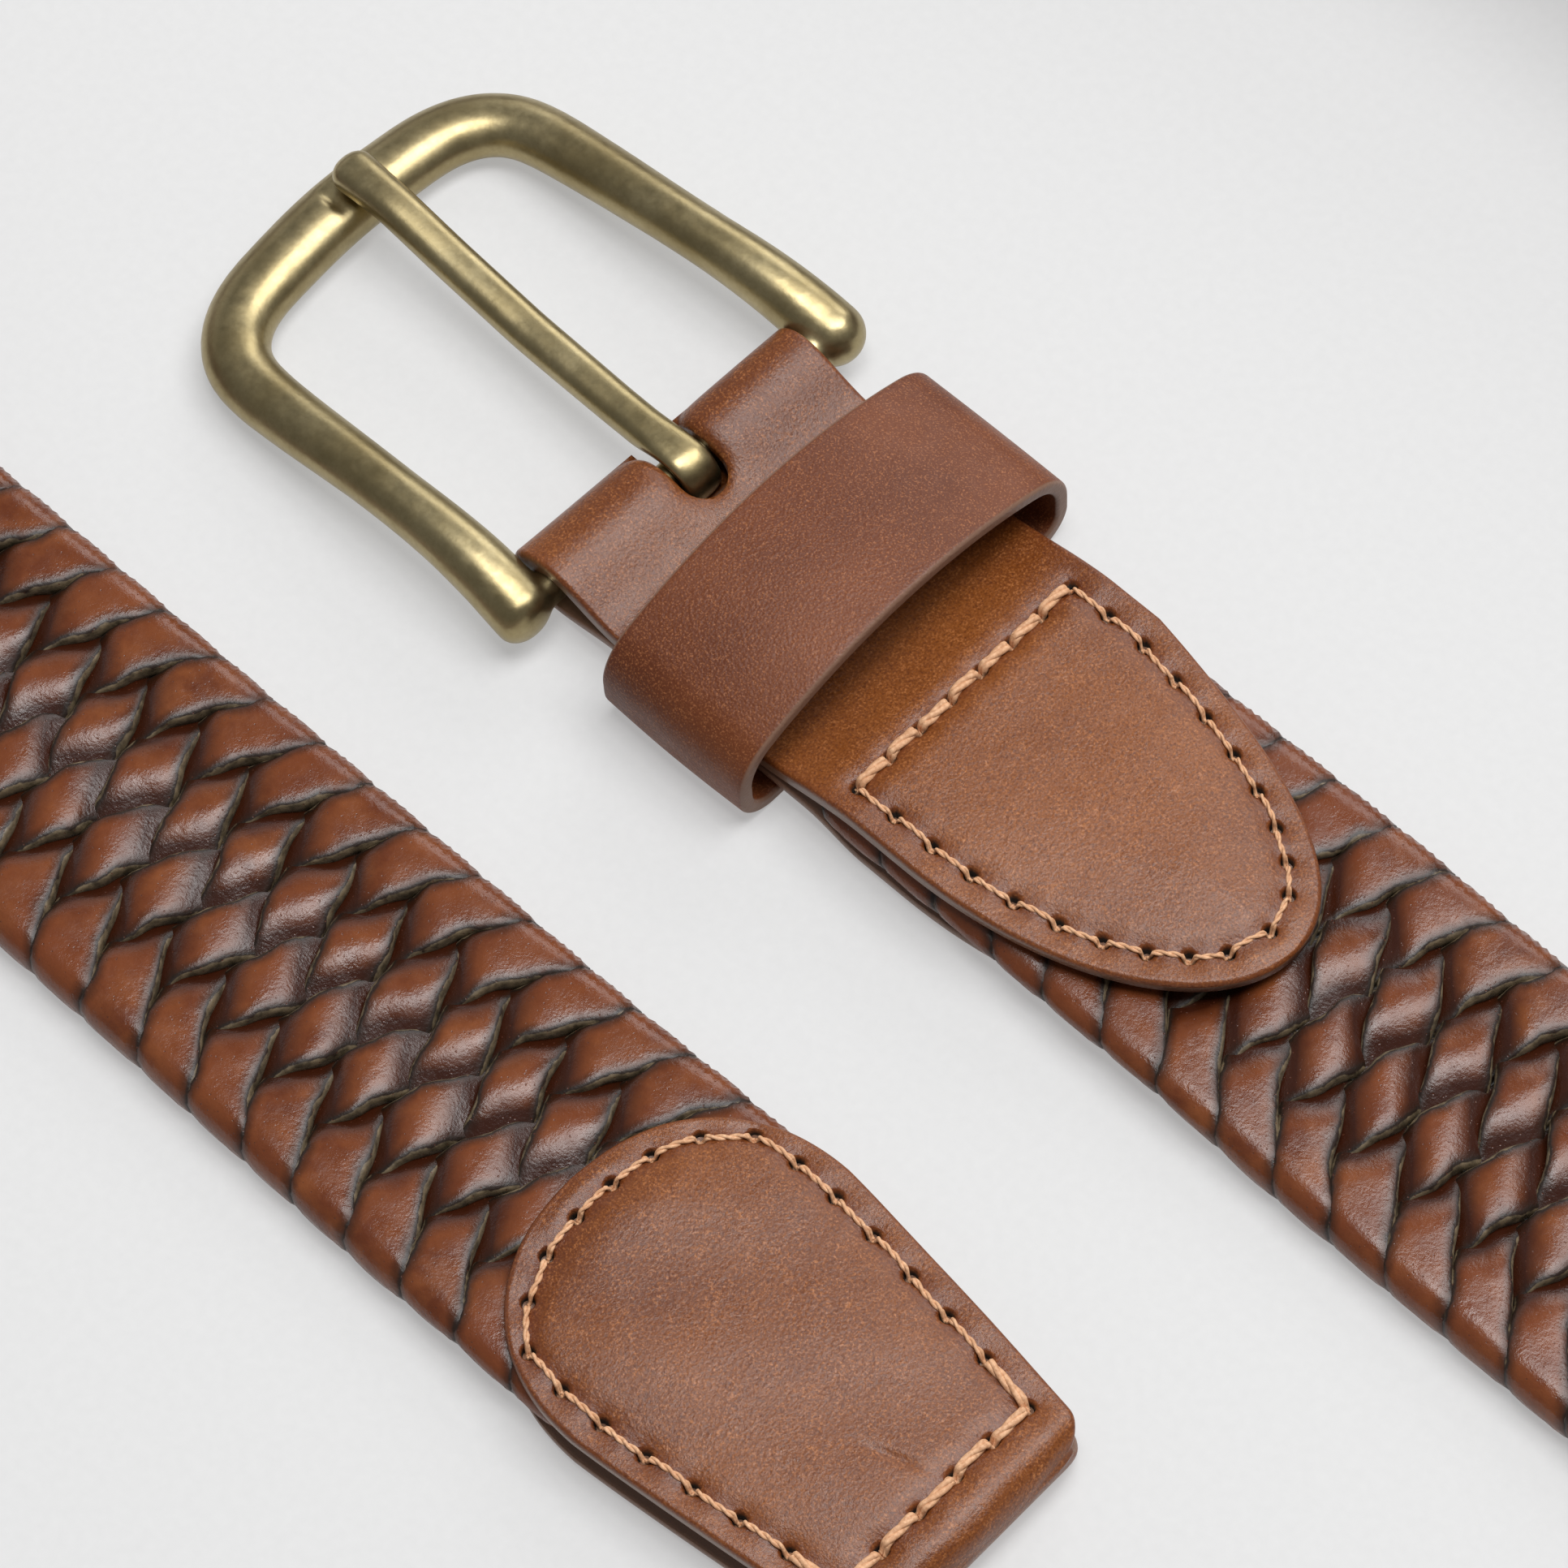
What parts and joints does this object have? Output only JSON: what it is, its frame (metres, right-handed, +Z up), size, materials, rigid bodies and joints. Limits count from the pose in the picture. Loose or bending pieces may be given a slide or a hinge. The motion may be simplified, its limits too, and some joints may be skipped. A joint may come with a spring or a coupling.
{
  "type": "leather belt",
  "caption": "Plaited brown leather belt with a brass prong buckle, sliding keeper and sewn leather tabs, laid out flat with its slack coiled on edge.",
  "frame": {"origin": "on the table under the middle of the laid-out belt", "axes": "+X along both flat strands, from the buckle towards the tip; +Y across the belt, towards the on-edge back run; +Z up"},
  "size_m": [0.4166, 0.1855, 0.0352],
  "materials": {
    "plait_leather": "glazed, dark burnished edges",
    "tab_leather": "glazed",
    "keeper_leather": "satin, fine pebble grain",
    "antique_brass": "satin, dark patina",
    "staple_steel": "plain",
    "thread": "waxed"
  },
  "bodies": {
    "strap": {"braid_buckle_run": "plait_leather", "braid_right_roll": "plait_leather", "braid_back_run": "plait_leather", "braid_left_roll": "plait_leather", "braid_tip_run": "plait_leather", "braid_right_turn_1": "plait_leather", "braid_right_turn_2": "plait_leather", "braid_right_turn_3": "plait_leather", "braid_left_turn_1": "plait_leather", "braid_left_turn_2": "plait_leather", "braid_left_turn_3": "plait_leather", "buckle_tab": "tab_leather", "tip_tab": "tab_leather", "buckle_tab_needle_thread": "thread", "buckle_tab_bobbin_thread": "thread", "tip_tab_needle_thread": "thread", "tip_tab_bobbin_thread": "thread"},
    "buckle": {"buckle_frame": "antique_brass"},
    "prong": {"prong": "antique_brass"},
    "keeper": {"keeper_band": "keeper_leather", "keeper_staples": "staple_steel"}
  },
  "joints": [
    {"name": "buckle_hinge", "type": "hinge", "parent": "strap", "child": "buckle", "pos_m": [-0.02312, -0.01565, 0.0044], "axis": [0, 1, 0], "range_deg": [-90, 35]},
    {"name": "prong_hinge", "type": "hinge", "parent": "buckle", "child": "prong", "pos_m": [-0.02312, -0.01565, 0.0044], "axis": [0, 1, 0], "range_deg": [0, 80]},
    {"name": "keeper_slide", "type": "slide", "parent": "strap", "child": "keeper", "axis": [1, 0, 0], "range_m": [-0.0015, 0.003]}
  ]
}
